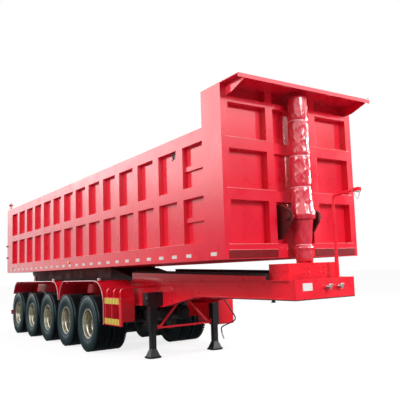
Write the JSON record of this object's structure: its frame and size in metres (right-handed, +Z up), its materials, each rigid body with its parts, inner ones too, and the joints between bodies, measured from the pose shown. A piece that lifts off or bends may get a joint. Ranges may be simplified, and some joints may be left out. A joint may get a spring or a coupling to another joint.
{
  "type": "dump trailer",
  "caption": "Rear-tipping semitrailer with a ribbed open steel body, front telescopic hoist, top-hung tailgate, gooseneck chassis, twin-tyred axles and landing legs.",
  "frame": {"origin": "on the ground under the middle of the trailer's length", "axes": "+X towards the gooseneck, +Y to the trailer's left side, +Z up"},
  "size_m": [12.84, 2.5, 4.08],
  "materials": {
    "red_enamel": "gloss",
    "black_enamel": "satin",
    "rim_enamel": "gloss",
    "yellow_enamel": "satin",
    "tyre_rubber": "matte",
    "strip_rubber": "matte",
    "hoist_steel": "polished",
    "bare_steel": "machined",
    "lamp_plastic": "gloss"
  },
  "bodies": {
    "chassis": {"air_couplings": "bare_steel", "air_tanks": "black_enamel", "axles": "black_enamel", "buffer_strips": "strip_rubber", "coupler_plate": "bare_steel", "crossmembers": "red_enamel", "fender_stays": "red_enamel", "fenders_left": "red_enamel", "fenders_right": "red_enamel", "frame_beams": "red_enamel", "guard_plates": "yellow_enamel", "hoist_cradle": "red_enamel", "hose_mast": "red_enamel", "leaf_springs": "black_enamel", "leg_brace": "red_enamel", "leg_crank": "black_enamel", "leg_feet": "black_enamel", "leg_tubes": "black_enamel", "rear_bumper": "red_enamel", "side_guard": "red_enamel", "spring_clamps": "black_enamel", "spring_hangers": "red_enamel", "tail_lamps": "lamp_plastic", "tip_hinges": "red_enamel", "toolbox": "red_enamel"},
    "tipping_body": {"side_wall_left": "red_enamel", "side_wall_right": "red_enamel", "front_wall": "red_enamel", "canopy": "red_enamel", "floor": "red_enamel", "body_sills": "red_enamel", "hoist_bracket": "red_enamel"},
    "gate": {"tailgate": "red_enamel"},
    "hoist_foot": {"hoist_base": "hoist_steel"},
    "hoist_2": {"hoist_stage_2": "hoist_steel"},
    "hoist_3": {"hoist_stage_3": "hoist_steel"},
    "hoist_4": {"hoist_stage_4": "hoist_steel"},
    "hoist_5": {"hoist_stage_5": "hoist_steel"},
    "hoist_head": {"hoist_cover": "red_enamel"},
    "left_wheel_1": {"tyres_left_1": "tyre_rubber", "wheel_left_1": "rim_enamel"},
    "left_wheel_2": {"tyres_left_2": "tyre_rubber", "wheel_left_2": "rim_enamel"},
    "left_wheel_3": {"tyres_left_3": "tyre_rubber", "wheel_left_3": "rim_enamel"},
    "left_wheel_4": {"tyres_left_4": "tyre_rubber", "wheel_left_4": "rim_enamel"},
    "left_wheel_5": {"tyres_left_5": "tyre_rubber", "wheel_left_5": "rim_enamel"},
    "right_wheel_1": {"tyres_right_1": "tyre_rubber", "wheel_right_1": "rim_enamel"},
    "right_wheel_2": {"tyres_right_2": "tyre_rubber", "wheel_right_2": "rim_enamel"},
    "right_wheel_3": {"tyres_right_3": "tyre_rubber", "wheel_right_3": "rim_enamel"},
    "right_wheel_4": {"tyres_right_4": "tyre_rubber", "wheel_right_4": "rim_enamel"},
    "right_wheel_5": {"tyres_right_5": "tyre_rubber", "wheel_right_5": "rim_enamel"}
  },
  "joints": [
    {"name": "body_tip", "type": "hinge", "parent": "chassis", "child": "tipping_body", "pos_m": [-5.93, 0, 1.49], "axis": [0, -1, 0], "range_deg": [0, 40]},
    {"name": "tailgate_swing", "type": "hinge", "parent": "tipping_body", "child": "gate", "pos_m": [-6.16, 0, 3.71], "axis": [0, 1, 0], "range_deg": [0, 70]},
    {"name": "hoist_lean", "type": "hinge", "parent": "chassis", "child": "hoist_foot", "pos_m": [5.57, 0, 1.49], "axis": [0, -1, 0], "range_deg": [0, 21.8]},
    {"name": "hoist_slide_1", "type": "slide", "parent": "hoist_foot", "child": "hoist_2", "axis": [0, 0, 1], "range_m": [0, 1.566]},
    {"name": "hoist_slide_2", "type": "slide", "parent": "hoist_2", "child": "hoist_3", "axis": [0, 0, 1], "range_m": [0, 1.566]},
    {"name": "hoist_slide_3", "type": "slide", "parent": "hoist_3", "child": "hoist_4", "axis": [0, 0, 1], "range_m": [0, 1.566]},
    {"name": "hoist_slide_4", "type": "slide", "parent": "hoist_4", "child": "hoist_5", "axis": [0, 0, 1], "range_m": [0, 1.566]},
    {"name": "hoist_slide_5", "type": "slide", "parent": "hoist_5", "child": "hoist_head", "axis": [0, 0, 1], "range_m": [0, 1.566]},
    {"name": "left_wheel_1_spin", "type": "hinge", "parent": "chassis", "child": "left_wheel_1", "pos_m": [0.3, 0, 0.562], "axis": [0, 1, 0], "continuous": true},
    {"name": "left_wheel_2_spin", "type": "hinge", "parent": "chassis", "child": "left_wheel_2", "pos_m": [-1.05, 0, 0.562], "axis": [0, 1, 0], "continuous": true},
    {"name": "left_wheel_3_spin", "type": "hinge", "parent": "chassis", "child": "left_wheel_3", "pos_m": [-2.4, 0, 0.562], "axis": [0, 1, 0], "continuous": true},
    {"name": "left_wheel_4_spin", "type": "hinge", "parent": "chassis", "child": "left_wheel_4", "pos_m": [-3.75, 0, 0.562], "axis": [0, 1, 0], "continuous": true},
    {"name": "left_wheel_5_spin", "type": "hinge", "parent": "chassis", "child": "left_wheel_5", "pos_m": [-5.1, 0, 0.562], "axis": [0, 1, 0], "continuous": true},
    {"name": "right_wheel_1_spin", "type": "hinge", "parent": "chassis", "child": "right_wheel_1", "pos_m": [0.3, 0, 0.562], "axis": [0, 1, 0], "continuous": true},
    {"name": "right_wheel_2_spin", "type": "hinge", "parent": "chassis", "child": "right_wheel_2", "pos_m": [-1.05, 0, 0.562], "axis": [0, 1, 0], "continuous": true},
    {"name": "right_wheel_3_spin", "type": "hinge", "parent": "chassis", "child": "right_wheel_3", "pos_m": [-2.4, 0, 0.562], "axis": [0, 1, 0], "continuous": true},
    {"name": "right_wheel_4_spin", "type": "hinge", "parent": "chassis", "child": "right_wheel_4", "pos_m": [-3.75, 0, 0.562], "axis": [0, 1, 0], "continuous": true},
    {"name": "right_wheel_5_spin", "type": "hinge", "parent": "chassis", "child": "right_wheel_5", "pos_m": [-5.1, 0, 0.562], "axis": [0, 1, 0], "continuous": true}
  ],
  "couplings": [
    {"joint": "hoist_lean", "follows": "body_tip", "ratio": 0.5439},
    {"joint": "hoist_slide_1", "follows": "body_tip", "m_per_rad": 2.2414},
    {"joint": "hoist_slide_2", "follows": "body_tip", "m_per_rad": 2.2414},
    {"joint": "hoist_slide_3", "follows": "body_tip", "m_per_rad": 2.2414},
    {"joint": "hoist_slide_4", "follows": "body_tip", "m_per_rad": 2.2414},
    {"joint": "hoist_slide_5", "follows": "body_tip", "m_per_rad": 2.2414}
  ]
}
